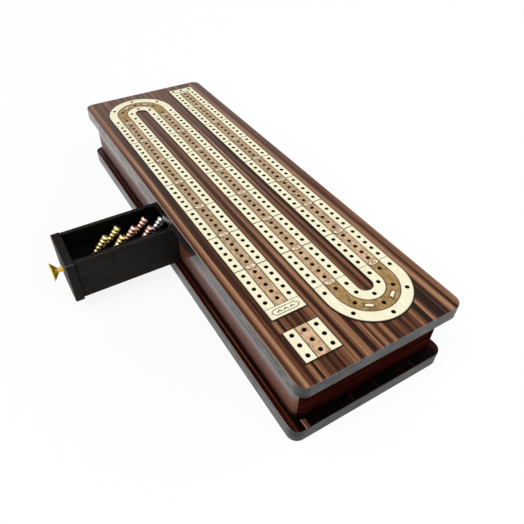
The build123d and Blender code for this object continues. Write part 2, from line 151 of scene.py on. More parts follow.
class Graph:
    """The nodes of one material or world."""

    def __init__(self, owner: bpy.types.Material | bpy.types.World) -> None:
        """Clears the owner's nodes.

        Args:
            owner: the material or world.
        """
        owner.use_nodes = True
        self.owner = owner
        self.tree = owner.node_tree
        self.tree.nodes.clear()

    def node(
        self, kind: str, settings: dict[str, Any], inputs: dict[int | str, Any], out: int | str = 0
    ) -> Shade:
        """Adds any node.

        Args:
            kind: the node's type.
            settings: its properties, and a ramp's stops, which are set first.
            inputs: values or links of its sockets, by name or number.
            out: the name or number of the output wanted.

        Returns:
            The output wanted.
        """
        made = self.tree.nodes.new(kind)
        for key, value in settings.items():
            if key == "stops":
                self.set_stops(made.color_ramp, value)
            else:
                setattr(made, key, value)
        for key, value in inputs.items():
            self.set_socket(made.inputs[key], value)
        return Shade(self, made, out)

    def set_stops(self, ramp: bpy.types.ColorRamp, stops: tuple[tuple[float, Colour], ...]) -> None:
        """Gives a ramp its stops.

        Args:
            ramp: the ramp.
            stops: places from 0 to 1 with their colours, in order.
        """
        while len(ramp.elements) < len(stops):
            ramp.elements.new(1.0)
        for element, (spot, colour) in zip(ramp.elements, stops):
            element.position = spot
            element.color = (*colour, 1.0)

    def set_socket(self, socket: bpy.types.NodeSocket, value: Any) -> None:
        """Links a socket to a shade, or gives it a plain value.

        Args:
            socket: the socket.
            value: the shade, or the value.
        """
        if isinstance(value, Shade):
            self.tree.links.new(value.socket, socket)
        elif socket.type == "RGBA":
            socket.default_value = (*value, 1.0)
        else:
            socket.default_value = value

    def place(self) -> Shade:
        """The point's place in the object's own frame, in metres."""
        return self.node("ShaderNodeTexCoord", {}, {}, "Object")

    def axes(self, vector: Shade) -> tuple[Shade, Shade, Shade]:
        """A vector's three parts."""
        parts = self.node("ShaderNodeSeparateXYZ", {}, {0: vector}, "X")
        return parts, parts.other("Y"), parts.other("Z")

    def join(self, x: Any, y: Any, z: Any = 0.0) -> Shade:
        """A vector from three parts."""
        return self.node("ShaderNodeCombineXYZ", {}, {0: x, 1: y, 2: z})

    def facing(self) -> tuple[Shade, Shade, Shade]:
        """The parts of the surface's normal in the object's own frame."""
        return self.axes(self.node("ShaderNodeTexCoord", {}, {}, "Normal"))

    def noise(self, vector: Shade, detail: float = 2.0, rough: float = 0.5) -> Shade:
        """Soft noise from 0 to 1, one cell to each unit of the vector."""
        values = {"Vector": vector, "Scale": 1.0, "Detail": detail, "Roughness": rough}
        return self.node("ShaderNodeTexNoise", {"noise_dimensions": "3D"}, values, "Fac")

    def ramp(self, value: Shade, stops: tuple[tuple[float, Colour], ...]) -> Shade:
        """The colour at a value from 0 to 1, which runs through the stops."""
        return self.node("ShaderNodeValToRGB", {"stops": stops}, {0: value})

    def mix(self, factor: Any, first: Any, second: Any, blend: Blend = Blend.MIX) -> Shade:
        """Two colours put together, with the factor as the second one's share."""
        settings = {"data_type": "RGBA", "blend_type": blend.value}
        return self.node("ShaderNodeMix", settings, {0: factor, 6: first, 7: second}, 2)

    def bump(self, height: Shade, strength: float, depth: float) -> Shade:
        """A normal from a height of 0 to 1, where 1 stands for the depth in metres."""
        return self.node("ShaderNodeBump", {}, {"Strength": strength, "Distance": depth, "Height": height})

    def principled(self, **sockets: Any) -> Shade:
        """A Principled shader with the given sockets, by name with _ for a space."""
        inputs = {key.replace("_", " "): value for key, value in sockets.items()}
        return self.node("ShaderNodeBsdfPrincipled", {}, inputs)


# ---------------- finishes


@dataclass(frozen=True)
class Point:
    """A point of a surface, by its parts in the object's own frame, in metres."""

    graph: Graph
    along: Any
    across: Any
    up: Any


@dataclass(frozen=True)
class Figure:
    """Soft noise with cells of its own shape, as a wood's figure or a finish's clouds have."""

    along: float  # cells to the metre on the first axis
    across: float  # on the second axis
    up: float = 0.0  # on the third axis, or 0 to leave that axis out
    shift: float = 0.0  # added on the third axis, so that two figures of one wood differ
    detail: float = 2.0
    rough: float = 0.5

    def noise(self, point: Point) -> Shade:
        """The noise at a point.

        Args:
            point: the point.

        Returns:
            The noise, from 0 to 1.
        """
        third = point.up * self.up if self.up else 0.0
        if self.shift:
            third = third + self.shift
        spot = point.graph.join(point.along * self.along, point.across * self.across, third)
        return point.graph.noise(spot, self.detail, self.rough)


class Finish:
    """A surface's finish, from which materials are made."""

    def sockets(self, point: Point) -> dict[str, Any]:
        """The Principled shader's sockets at a point, by name with _ for a space."""
        raise NotImplementedError

    def material(self, name: str) -> bpy.types.Material:
        """Makes a material with this finish.

        Args:
            name: the material's name.

        Returns:
            The material.
        """
        graph = Graph(bpy.data.materials.new(name))
        shader = graph.principled(**self.sockets(Point(graph, *graph.axes(graph.place()))))
        graph.node("ShaderNodeOutputMaterial", {}, {"Surface": shader})
        return graph.owner


@dataclass(frozen=True)
class Stripe:
    """One stripe of the veneer that stands out from the rest."""

    across: float  # its middle, in mm from the board's middle
    half: float  # half its width, in mm
    lightness: float  # 1 for the lightest wood, 0 for the darkest


TOP_TONES = (
    (0.008, 0.0018, 0.0005),
    (0.046, 0.012, 0.0035),
    (0.14, 0.05, 0.02),
    (0.25, 0.115, 0.058),
    (0.42, 0.24, 0.135),
)
# painted shade: darker tones than the top's, for the ledge under the top board
SHADED_LEDGE_TONES = (
    (0.001, 0.0004, 0.0004),
    (0.007, 0.0012, 0.0008),
    (0.026, 0.004, 0.002),
    (0.055, 0.011, 0.005),
    (0.3, 0.19, 0.1),
)
TOP_STRIPES = tuple(
    Stripe(*sizes)
    for sizes in (
        (-56.9, 0.9, 0.25), (-53.6, 1.2, 0.93), (-48.6, 1.3, 0.12), (-43.2, 0.9, 0.05),
        (-29.6, 0.8, 0.05), (-20.6, 0.8, 0.8), (-17.9, 1.2, 0.08), (-12.2, 1.1, 0.85),
        (-9.3, 1.4, 0.04), (-1.0, 0.7, 0.85), (5.0, 0.7, 0.85), (8.0, 1.2, 0.05),
        (17.0, 0.9, 0.08), (26.0, 0.8, 0.9), (30.5, 0.9, 0.06), (34.2, 1.1, 0.82),
        (38.9, 2.4, 0.1), (45.2, 1.0, 0.05), (49.2, 1.7, 0.85), (53.1, 0.8, 0.05),
    )
)
LEDGE_STRIPES = (
    Stripe(-48.6, 1.9, 1.05),
    Stripe(-56.6, 2.6, 0.58),
    Stripe(-55.2, 0.6, 0.78),
    Stripe(56.6, 2.6, 0.58),
)


@dataclass(frozen=True)
class StripedVeneer(Finish):
    """Dark rosewood veneer with tan and pinkish stripes along the board. Sizes are in mm."""

    tones: tuple[Colour, ...]  # from the darkest stripe to the lightest, in even steps
    stripes: tuple[Stripe, ...]
    windows: "Track | None" = None  # the track, along whose edges the veneer is scorched and painted with the inlay's shadow
    wander: float = 2.2  # how far the stripes stray sideways
    stray: Figure = Figure(5.0, 14.0, 5.0, detail=1.0)
    broad: Figure = Figure(3.2, 250.0, 20.0, detail=1.5)
    fine: Figure = Figure(9.0, 1000.0, 20.0, 3.0, rough=0.6)
    hair: Figure = Figure(14.0, 2400.0, 20.0, 7.0, detail=1.0)
    pores: Figure = Figure(130.0, 2600.0, 1.0, detail=1.0)
    pitting: tuple[float, float] = (0.64, 0.72)  # the pores' noise where a pore starts and is whole
    contrast: tuple[float, float, float] = (1.9, 1.2, 0.6)  # of broad, fine and hairlike stripes
    stripe_contrast: tuple[float, float] = (0.55, 0.45)  # of the last two within a stripe
    stripe_reach: tuple[float, float] = (1.5, 0.6)  # where a stripe ends and is whole, in its halves
    stripe_hold: float = 0.85  # the share of a stripe's own tone in it
    gloss: float = 0.38
    roughness: float = 0.34
    shade: float = 0.5  # how far the whole sheet is from its lightest
    calm: float = 0.5  # painted sheen: how much plainer the sheet is made at its far end, where sheen evens out the stripes
    calm_span: tuple[float, float] = (-20.0, -160.0)  # where it grows plainer
    calm_tone: float = 0.46
    halo: tuple[float, float] = (1.0, 0.5)  # from a window, where its scorch and painted shadow end and are whole
    arris: float = 0.6  # how far the bevelled rim takes its own colours: wear with a painted highlight, and dark where it faces the near end
    worn: Colour = (0.4, 0.3, 0.25)
    # also the colour of the painted shadow round the inlay, and of the bevel facing the near end
    scorch: Colour = (0.004, 0.002, 0.001)

    def tone(self, point: Point, fine: Shade) -> Shade:
        """The wood's tone, with the stripes that stand out.

        Args:
            point: the point, moved as the stripes stray.
            fine: the noise of the fine stripes there.

        Returns:
            The tone, from 0 to 1.
        """
        hair = self.hair.noise(point)
        first, second, third = self.contrast
        tone = self.broad.noise(point) * first - self.shade + (fine - 0.5) * second + (hair - 0.5) * third
        second, third = self.stripe_contrast
        outer, inner = self.stripe_reach
        for stripe in self.stripes:
            gap = abs(point.across - stripe.across * MM)
            near = gap.rises(outer * stripe.half * MM, inner * stripe.half * MM)
            wanted = (fine - 0.5) * second + (hair - 0.5) * third + stripe.lightness
            tone = tone + (wanted - tone) * near * self.stripe_hold
        return tone

    def sockets(self, point: Point) -> dict[str, Any]:
        """The veneer's sockets.

        Args:
            point: the point.

        Returns:
            The sockets' values, by name.
        """
        graph = point.graph
        stray = self.stray.noise(point) - 0.5
        bent = replace(point, across=point.across + stray * (self.wander * MM))
        fine = self.fine.noise(bent)
        tone = self.tone(bent, fine)
        # painted sheen: towards the far end the tone is drawn to one value
        start, end = self.calm_span
        plain = point.along.rises(start * MM, end * MM) * self.calm
        steps = tuple((k / (len(self.tones) - 1), colour) for k, colour in enumerate(self.tones))
        colour = graph.ramp(tone + (self.calm_tone - tone) * plain, steps)
        pitted = self.pores.noise(point).rises(*self.pitting)
        colour = graph.mix(pitted * 0.6, colour, self.tones[0])
        if self.windows is not None:
            # a dark halo round the inlay: partly scorch, partly painted shadow of the raised inlay
            outer, inner = self.halo
            halo = self.windows.reach(point).rises(outer * MM, inner * MM)
            colour = graph.mix(halo * 0.95, colour, self.scorch)
        # the bevelled rim: pale as wear with a painted highlight, and dark where it faces the near end
        ahead, _, level = graph.facing()
        bevelled = level.rises(0.3, 0.5) * level.rises(0.97, 0.9)
        edge = graph.mix(ahead.rises(0.1, 0.4), self.worn, self.scorch)
        return {
            "Base_Color": graph.mix(bevelled * self.arris, colour, edge),
            "Roughness": (fine - 0.5) * 0.1 + pitted * 0.12 + self.roughness,
            "Specular_IOR_Level": self.gloss,
            "Normal": graph.bump(1.0 - pitted * 0.7, 0.25, 0.00006),
        }


@dataclass(frozen=True)
class Hollow:
    """Painted shade on the drawer's inside, and the dark joint behind its front. Sizes are in mm."""

    half: float  # half the width inside
    front: float  # where the front board ends
    side_fade: tuple[float, float] = (0.6, 0.2)  # into the sides, where the painted shade ends and is whole
    front_fade: float = 1.0
    joint: float = 0.6  # the joint's middle, behind the front
    joint_fade: tuple[float, float] = (0.9, 0.4)
    depth: float = 0.9
    # the colour of the painted shade and of the joint
    dark: Colour = (0.0008, 0.0008, 0.0008)

    def darken(self, point: Point, colour: Shade) -> Shade:
        """Paints shade on the drawer's inside, and darkens the joint.

        Args:
            point: the point.
            colour: its colour outside them.

        Returns:
            Its colour with both of them in it.
        """
        # painted shade on the upright faces inside the drawer
        outer, inner = self.side_fade
        between = abs(point.along).rises((self.half + outer) * MM, (self.half + inner) * MM)
        behind = point.across.rises((self.front - self.front_fade) * MM, self.front * MM)
        upright = abs(point.graph.facing()[2]).rises(0.8, 0.5)
        outer, inner = self.joint_fade
        joint = abs(point.across - (self.front + self.joint) * MM).rises(outer * MM, inner * MM)
        share = (between * behind * upright).at_least(joint) * self.depth
        return point.graph.mix(share, colour, self.dark)


@dataclass(frozen=True)
class BlackLacquer(Finish):
    """Black-stained wood under a patchy satin lacquer, as on the boards' edges and the drawer."""

    base: Colour = (0.024, 0.024, 0.025)
    deep: Colour = (0.006, 0.0055, 0.005)
    roughness: float = 0.3
    gloss: float = 0.05
    coat: float = 0.0
    patches: float = 0.6  # the share of the coat that is missing where it is thinnest
    ends: float = 0.0  # the share that the end grain has soaked up
    rubbed: float = 0.0  # painted highlight: how much paler the rounded edges are
    rubbed_to: Colour = (0.3, 0.27, 0.25)
    hollow: Hollow | None = None
    grain: Figure = Figure(150.0, 150.0, 900.0, detail=3.0, rough=0.6)
    cloud: Figure = Figure(60.0, 60.0, 160.0, detail=3.0, rough=0.6)

    def sockets(self, point: Point) -> dict[str, Any]:
        """The lacquer's sockets.

        Args:
            point: the point.

        Returns:
            The sockets' values, by name.
        """
        graph = point.graph
        grain = self.grain.noise(point)
        cloud = self.cloud.noise(point)
        colour = graph.mix(grain.rises(0.35, 0.7) * 0.6, self.base, self.deep)
        colour = graph.mix(cloud.rises(0.4, 0.65) * 0.7, colour, self.deep)
        side, front, level = (abs(part) for part in graph.facing())
        # painted highlight along the rounded edges, where no face lines up with an axis
        if self.rubbed:
            flat = side.at_least(front).at_least(level)
            colour = graph.mix(flat.rises(0.985, 0.9) * self.rubbed, colour, self.rubbed_to)
        if self.hollow is not None:
            colour = self.hollow.darken(point, colour)
        thin = cloud.rises(0.36, 0.66) * 0.6 + grain.rises(0.4, 0.7) * 0.4
        return {
            "Base_Color": colour,
            "Roughness": cloud * 0.1 + grain * 0.08 + (self.roughness - 0.09),
            "Specular_IOR_Level": self.gloss,
            "Coat_Weight": (1.0 - thin * self.patches) * (1.0 - side * self.ends) * self.coat,
            "Coat_Roughness": 0.12,
            "Normal": graph.bump(cloud, 0.08, 0.0001),
        }


@dataclass(frozen=True)
class DarkRosewood(Finish):
    """Deep red rosewood under a high gloss, as on the case's walls. Heights are in mm."""

    low: float = 11.5  # where the walls start
    high: float = 22.0  # where their dark foot ends
    black: Colour = (0.003, 0.001, 0.001)
    red: Colour = (0.06, 0.013, 0.008)
    brown: Colour = (0.16, 0.062, 0.034)
    stops: tuple[float, float, float] = (0.22, 0.5, 0.9)  # the tones of the black, red and brown
    wander: float = 4.0  # how far the streaks stray up and down
    stray: Figure = Figure(9.0, 0.0, 30.0, detail=1.0)
    broad: Figure = Figure(4.0, 2.0, 150.0, rough=0.55)
    fine: Figure = Figure(22.0, 5.0, 1100.0, rough=0.6)
    bands: float = 0.7  # how strongly broad bands show
    streaks: float = 0.5  # how strongly fine streaks show
    climb: float = 0.75  # how much lighter the walls are above their dark foot
    depth: float = 0.42  # how far the whole wall is from its lightest
    roughness: float = 0.3
    gloss: float = 0.1
    coat: float = 1.0
    coat_from: float = 26.5  # where the coat starts
    coat_full: float = 38.0  # and where it is whole
    coat_index: float = 1.9

    def sockets(self, point: Point) -> dict[str, Any]:
        """The walls' sockets.

        Args:
            point: the point.

        Returns:
            The sockets' values, by name.
        """
        graph = point.graph
        # across is 1, so that a figure's second number only shifts it
        flat = replace(point, along=point.along + point.across, across=1.0)
        stray = self.stray.noise(flat) - 0.5
        bent = replace(flat, up=flat.up + stray * (self.wander * MM))
        fine = self.fine.noise(bent)
        rise = point.up.rises(self.low * MM, self.high * MM) * self.climb
        tone = self.broad.noise(bent) * self.bands + (fine - 0.5) * self.streaks + rise - self.depth
        stops = zip((0.0, *self.stops), (self.black, self.black, self.red, self.brown))
        return {
            "Base_Color": graph.ramp(tone, tuple(stops)),
            "Roughness": fine * 0.12 + self.roughness,
            "Specular_IOR_Level": self.gloss,
            "Coat_Weight": point.up.rises(self.coat_from * MM, self.coat_full * MM) * self.coat,
            "Coat_Roughness": 0.035,
            "Coat_IOR": self.coat_index,
            "Normal": graph.bump(fine, 0.06, 0.00002),
        }


@dataclass(frozen=True)
class PlainWood(Finish):
    """Matt wood of two colours, such as that inside the case and that of the burnt marks."""

    first: Colour
    second: Colour
    figure: Figure
    span: tuple[float, float]  # the figure's noise over which the second colour takes the first's place
    roughness: float
    relief: float = 0.0  # how much of the figure stands out of the surface

    def sockets(self, point: Point) -> dict[str, Any]:
        """The wood's sockets.

        Args:
            point: the point.

        Returns:
            The sockets' values, by name.
        """
        figure = self.figure.noise(point)
        return {
            "Base_Color": point.graph.mix(figure.rises(*self.span), self.first, self.second),
            "Roughness": figure * 0.2 + self.roughness,
            "Normal": point.graph.bump(figure, self.relief, 0.00005),
        }


@dataclass(frozen=True)
class TrackLines:
    """Where the scorched lines run in one part of the track, in mm.

    A leg is straight. A turn bends round a point, beyond which lines follow half circles.
    """

    middle: float  # the middle of a leg, or of the bend
    bend: float = 0.0  # where a turn's half circles start, along the board
    way: int = 0  # 1 or -1 for the way that a turn points, 0 for a leg
    radius: float = 0.0  # of a turn's middle lane
    first_cross: float = 0.0  # a line that crosses a leg between two groups of holes
    cross_step: float = 0.0  # from one such line to the next, or 0 where there are none

    def lane(self, point: Point) -> Shade:
        """How far a point lies from the middle of its band.

        Args:
            point: the point.

        Returns:
            The distance in metres.
        """
        side = point.across - self.middle * MM
        if self.way == 0:
            return abs(side)
        out = ((point.along - self.bend * MM) * float(self.way)).at_least(0.0)
        return abs((out * out + side * side) ** 0.5 - self.radius * MM)

    def cross(self, point: Point) -> Shade:
        """How far a point lies from the nearest line across the leg, in metres."""
        steps = (point.along - self.first_cross * MM) / (self.cross_step * MM)
        return abs(steps - steps.rounded()) * (self.cross_step * MM)


@dataclass(frozen=True)
class InlayTones:
    """The colours of one of the inlay's woods."""

    light: Colour
    dark: Colour
    fleck: Colour
    mottle: float
    near: Colour = (0.5, 0.5, 0.5)  # laid over it towards the start end, where mid-grey changes nothing


MAPLE = InlayTones((0.9, 0.86, 0.66), (0.82, 0.77, 0.54), (0.74, 0.67, 0.44), 0.35)
BROWN = InlayTones((0.56, 0.4, 0.25), (0.4, 0.27, 0.15), (0.16, 0.085, 0.035), 0.8, (1.0, 0.95, 0.95))
TURN_BROWN = InlayTones((0.46, 0.31, 0.125), (0.32, 0.195, 0.065), (0.11, 0.055, 0.016), 0.8)
PLATE_MAPLE = InlayTones((0.8, 0.66, 0.47), (0.72, 0.57, 0.38), (0.6, 0.44, 0.28), 0.35)
ARROW_MAPLE = InlayTones((0.92, 0.82, 0.66), (0.86, 0.74, 0.55), (0.8, 0.66, 0.45), 0.2)


@dataclass(frozen=True)
class InlayWood(Finish):
    """Thin sawn inlay, scorched along its cuts, in its holes and in its engraving. Sizes are in mm."""

    face: float  # the height of its upper face
    tones: InlayTones
    scorch: Colour = (0.03, 0.02, 0.007)
    lines: TrackLines | None = None
    half_middle: float = 4.32
    half_band: float = 12.1
    line_width: float = 0.62
    line_core: float = 0.35  # the share of a line's width that is wholly burnt
    line_depth: float = 0.8
    line_wobble: float = 0.16  # how uneven a line is
    sunk: tuple[float, float] = (0.05, 0.2)  # under the face, where the burn starts and is whole
    near_span: tuple[float, float] = (30.0, 150.0)  # where the near end's colour comes in
    near_share: float = 0.4
    grain: Figure = Figure(60.0, 800.0, shift=1.0, detail=3.0, rough=0.6)
    cloud: Figure = Figure(260.0, 330.0, shift=4.0, detail=3.0, rough=0.65)
    flecks: Figure = Figure(700.0, 1500.0, shift=8.0, detail=1.0)
    wobble: Figure = Figure(300.0, 300.0, detail=1.0)

    def wood(self, point: Point, grain: Shade) -> Shade:
        """The wood's own colour.

        Args:
            point: the point.
            grain: the noise of the wood's grain there.

        Returns:
            The colour.
        """
        graph = point.graph
        colour = graph.mix(grain.rises(0.32, 0.7), self.tones.light, self.tones.dark)
        for spots in (self.cloud.noise(point).rises(0.42, 0.72), self.flecks.noise(point).rises(0.6, 0.72)):
            colour = graph.mix(spots * self.tones.mottle, colour, self.tones.fleck)
        start, end = self.near_span
        near = point.along.rises(start * MM, end * MM) * self.near_share
        return graph.mix(near, colour, self.tones.near, Blend.OVERLAY)

    def burn(self, point: Point) -> Shade:
        """How far the wood is burnt.

        Args:
            point: the point.

        Returns:
            A value from 0 to 1.
        """
        start, end = self.sunk
        sunk = point.up.rises((self.face - start) * MM, (self.face - end) * MM)
        burnt = sunk.at_least(point.graph.facing()[2].rises(0.9, 0.5))
        if self.lines is None:
            return burnt
        lane = self.lines.lane(point)
        uneven = (self.wobble.noise(point) - 0.5) * (self.line_wobble * MM)
        gaps = [abs(lane - edge * MM) for edge in (self.half_middle, self.half_band)]
        if self.lines.cross_step:
            gaps.append(self.lines.cross(point))
        for gap in gaps:
            line = (gap + uneven).rises(self.line_width * MM, self.line_core * self.line_width * MM)
            burnt = burnt.at_least(line * self.line_depth)
        return burnt

    def sockets(self, point: Point) -> dict[str, Any]:
        """The inlay's sockets.

        Args:
            point: the point.

        Returns:
            The sockets' values, by name.
        """
        grain = self.grain.noise(point)
        burnt = self.burn(point)
        return {
            "Base_Color": point.graph.mix(burnt, self.wood(point, grain), self.scorch),
            "Roughness": grain * 0.1 + burnt * 0.25 + 0.4,
            "Specular_IOR_Level": 0.25,
            "Normal": point.graph.bump(grain * (1.0 - burnt), 0.08, 0.00003),
        }


@dataclass(frozen=True)
class TurnedMetal(Finish):
    """Polished metal with fine turning marks and darker clouds of tarnish."""

    colour: Colour
    shadow: Colour
    roughness: float = 0.2
    metallic: float = 1.0  # less than 1 for brass under a tinted lacquer
    rings: Figure = Figure(120.0, 120.0, 2400.0)
    cloud: Figure = Figure(420.0, 420.0, 420.0, detail=3.0, rough=0.6)

    def sockets(self, point: Point) -> dict[str, Any]:
        """The metal's sockets.

        Args:
            point: the point.

        Returns:
            The sockets' values, by name.
        """
        rings = self.rings.noise(replace(point, up=point.across + point.up))
        cloud = self.cloud.noise(point)
        return {
            "Base_Color": point.graph.mix(cloud.rises(0.45, 0.75) * 0.5, self.colour, self.shadow),
            "Metallic": self.metallic,
            "Roughness": cloud * 0.16 + rings * 0.08 + (self.roughness - 0.1),
            "Normal": point.graph.bump(rings, 0.06, 0.00002),
        }


INNER_GRAIN = Figure(500.0, 18.0, 500.0, detail=3.0, rough=0.6)
INNER_WOOD = PlainWood((0.16, 0.085, 0.045), (0.3, 0.18, 0.1), INNER_GRAIN, (0.3, 0.7), 0.55, 0.2)
BURNT_CLOUD = Figure(1500.0, 1500.0, 1.0)
BURNT_WOOD = PlainWood((0.045, 0.02, 0.008), (0.14, 0.07, 0.03), BURNT_CLOUD, (0.4, 0.75), 0.6)
KNOB_BRASS = TurnedMetal((1.0, 0.7, 0.16), (0.85, 0.45, 0.05), 0.45, 0.72)
BRASS = TurnedMetal((1.0, 0.84, 0.4), (0.7, 0.5, 0.14), 0.3)
COPPER = TurnedMetal((1.0, 0.66, 0.52), (0.5, 0.2, 0.13), 0.28)
SILVER = TurnedMetal((1.0, 1.0, 1.0), (0.6, 0.6, 0.62), 0.26)


# ---------------- helpers for meshes


def shown(node: str, material: bpy.types.Material) -> None:
    """Gives one of the frame's nodes its material.

    Args:
        node: the node's name.
        material: the material.
    """
    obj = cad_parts[node]
    obj.data.materials.clear()
    obj.data.materials.append(material)
    LOG.info("node %s wears %s", node, material.name)


def softened(node: str, width: float) -> None:
    """Rounds the sharp edges of one of the frame's nodes with modifiers.

    Args:
        node: the node's name.
        width: the width of the rounding, in mm.
    """
    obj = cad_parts[node]
    weld = obj.modifiers.new("joined_faces", "WELD")
    weld.merge_threshold = 1e-6
    rounding = obj.modifiers.new("soft_edges", "BEVEL")
    rounding.width = width * MM
    rounding.segments = 2
    rounding.limit_method = "ANGLE"
    rounding.angle_limit = math.radians(40)


def linked(name: str, data: Any) -> bpy.types.Object:
    """A new object in the scene.

    Args:
        name: its name.
        data: its mesh, light, camera or text.

    Returns:
        The object.
    """
    obj = bpy.data.objects.new(name, data)
    bpy.context.scene.collection.objects.link(obj)
    return obj


def new_piece(
    name: str, mesh: bmesh.types.BMesh, material: bpy.types.Material, body: str
) -> None:
    """Adds a piece of the object, with its faces pointing outwards.

    Args:
        name: the piece's name.
        mesh: its mesh in the object's own frame, which is freed.
        material: its material.
        body: the body that it rides on.
    """
    bmesh.ops.recalc_face_normals(mesh, faces=mesh.faces)
    data = bpy.data.meshes.new(name)
    mesh.to_mesh(data)
    mesh.free()
    data.materials.append(material)
    piece = linked(name, data)
    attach(piece, body)
    LOG.info("piece %s rides on %s, %d faces", name, body, len(data.polygons))


def grown(outline: list[Vector], distance: float) -> list[Vector]:
    """An outline moved outwards.

    Args:
        outline: its corners, anticlockwise.
        distance: how far each side moves, or less than 0 to shrink it.

    Returns:
        The moved corners.
    """
    moved = []
    for k, here in enumerate(outline):
        before = (here - outline[k - 1]).normalized()
        after = (outline[(k + 1) % len(outline)] - here).normalized()
        first = Vector((before.y, -before.x))
        second = Vector((after.y, -after.x))
        moved.append(here + (first + second) * (distance / (1 + first.dot(second))))
    return moved


# ---------------- sub-assemblies


@dataclass
class Case:
    """The two boards with their veneers, and the walls between them."""

    long_walls: tuple[str, ...] = ("front_wall_near", "front_wall_far", "back_wall")
    end_walls: tuple[str, ...] = ("end_wall_near", "end_wall_far")
    inner: tuple[str, ...] = ("guide_near", "guide_far", "runner_near", "runner_far")

    def dress(self) -> None:
        """Gives the boards, veneers, walls and guides their finishes."""
        upper = BlackLacquer(coat=1.0, ends=0.6).material("black_lacquer_above")
        lower = BlackLacquer(coat=0.75, ends=0.7).material("black_lacquer_below")
        rosewood = DarkRosewood().material("dark_rosewood")
        # painted shade: the end walls wear a darker, unglossed copy of the walls' rosewood
        shaded_end_tones = {"red": (0.011, 0.001, 0.0007), "brown": (0.026, 0.0048, 0.0034)}
        ends = DarkRosewood(**shaded_end_tones, streaks=2.4, gloss=0.0, coat=0.0)
        shaded_end_rosewood = ends.material("shaded_end_wall_rosewood")
        bare = INNER_WOOD.material("bare_wood")
        shown("top_board", upper)
        shown("bottom_board", lower)
        top = StripedVeneer(TOP_TONES, TOP_STRIPES, windows=Track())
        # the ledge's veneer is darker all over: painted shade under the top board
        shaded_ledge = StripedVeneer(SHADED_LEDGE_TONES, LEDGE_STRIPES, gloss=0.1, shade=1.05, calm=0.0)
        shown("top_veneer", top.material("striped_veneer"))
        shown("bottom_veneer", shaded_ledge.material("shaded_ledge_veneer"))
        for wall in self.long_walls:
            shown(wall, rosewood)
        for wall in self.end_walls:
            shown(wall, shaded_end_rosewood)
        for piece in self.inner:
            shown(f"drawer_{piece}", bare)


